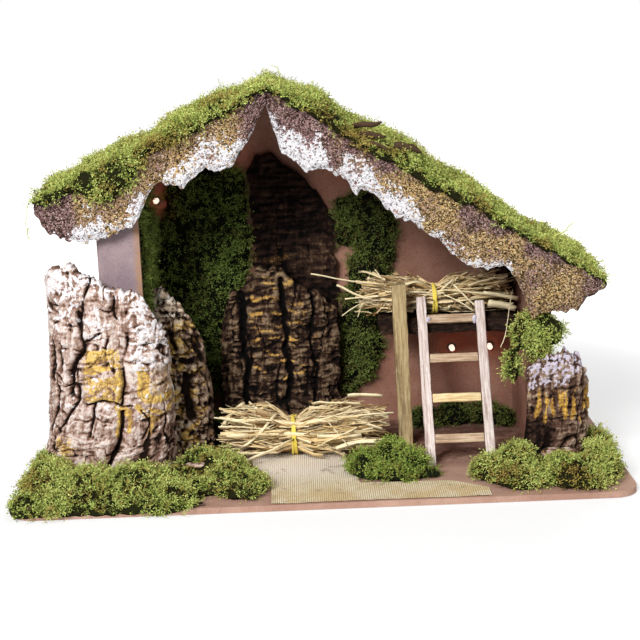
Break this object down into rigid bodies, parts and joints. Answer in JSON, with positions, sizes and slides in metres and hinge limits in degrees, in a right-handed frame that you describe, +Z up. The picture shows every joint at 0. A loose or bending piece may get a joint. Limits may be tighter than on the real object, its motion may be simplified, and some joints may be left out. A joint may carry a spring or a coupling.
{
  "type": "nativity stable",
  "caption": "Rustic crib stable: painted board hut on a base, moss-covered pitched roof with torn cork edges, cork bark, moss, a loft with post and ladder, straw, lit lamps.",
  "frame": {"origin": "on the ground under the middle of the base board", "axes": "+X to the right along the front, +Y from the open front to the back, +Z up"},
  "size_m": [0.5, 0.25, 0.3279],
  "materials": {
    "painted_board": "thin hardboard with matt terracotta-brown paint",
    "grey_board": "thin hardboard with matt mauve-grey paint",
    "cork_crust": "torn granular cork, mauve, ochre and limewashed white",
    "cork_bark": "rough virgin cork bark with white and ochre dabs",
    "dark_bark": "dark brown layered bark",
    "moss_green": "dyed dry moss, bright green",
    "deep_moss": "dyed dry moss, dark olive",
    "pale_wood": "rough sawn strip with a thin white wash",
    "olive_wood": "rough sawn strip with an olive stain",
    "straw": "dry straw",
    "raffia": "yellow raffia",
    "woven_path": "coarse ribbed weave, sandy",
    "lamp_glass": "clear glass, lit warm inside",
    "green_plastic": "moulded",
    "black_plastic": "moulded, fine grain",
    "cell_skin": "plain unprinted sleeve",
    "bright_metal": "nickel plated"
  },
  "bodies": {
    "stable": {"base_board": "painted_board", "back_wall": "painted_board", "left_wall": "painted_board", "right_wall": "painted_board", "roof_panel_left": "painted_board", "roof_panel_right": "painted_board", "front_board_left": "grey_board", "front_board_right": "grey_board", "fascia_left": "cork_crust", "fascia_right": "cork_crust", "roof_moss_left": "moss_green", "roof_moss_right": "moss_green", "ground_moss_left": "moss_green", "ground_moss_centre": "moss_green", "ground_moss_right": "moss_green", "bark_cap_moss": "moss_green", "loft_shelf": "dark_bark", "tall_bark": "dark_bark", "loft_post": "olive_wood", "ladder_stile_left": "pale_wood", "ladder_stile_right": "pale_wood", "ladder_rung_1": "pale_wood", "ladder_rung_2": "pale_wood", "ladder_rung_3": "pale_wood", "ladder_rung_4": "pale_wood", "left_bark": "cork_bark", "inner_bark": "cork_bark", "centre_bark": "cork_bark", "right_bark": "cork_bark", "bark_chip_left": "cork_bark", "bark_chip_right": "cork_bark", "ground_mat": "woven_path", "floor_straw": "straw", "loft_straw": "straw", "floor_straw_tie": "raffia", "loft_straw_tie": "raffia", "ground_moss_back": "deep_moss", "ground_moss_inner": "deep_moss", "wall_moss_left": "deep_moss", "wall_moss_right": "deep_moss", "lamp_socket_1": "green_plastic", "lamp_socket_2": "green_plastic", "lamp_socket_3": "green_plastic", "lamp_socket_4": "green_plastic", "lamp_socket_5": "green_plastic", "bulb_1": "lamp_glass", "bulb_2": "lamp_glass", "bulb_3": "lamp_glass", "bulb_4": "lamp_glass", "bulb_5": "lamp_glass", "battery_case": "black_plastic", "lamp_wire": "black_plastic", "switch_body": "bright_metal", "contact_bridge": "bright_metal", "contact_spring": "bright_metal", "contact_plate": "bright_metal", "cell_1": "cell_skin", "cell_2": "cell_skin"},
    "cover": {"battery_cover": "black_plastic"},
    "knob": {"switch_knob": "black_plastic"}
  },
  "joints": [
    {"name": "battery_cover_slide", "type": "slide", "parent": "stable", "child": "cover", "axis": [-1, 0, 0], "range_m": [0, 0.06]},
    {"name": "switch_slide", "type": "slide", "parent": "stable", "child": "knob", "axis": [-1, 0, 0], "range_m": [0, 0.0034]}
  ]
}
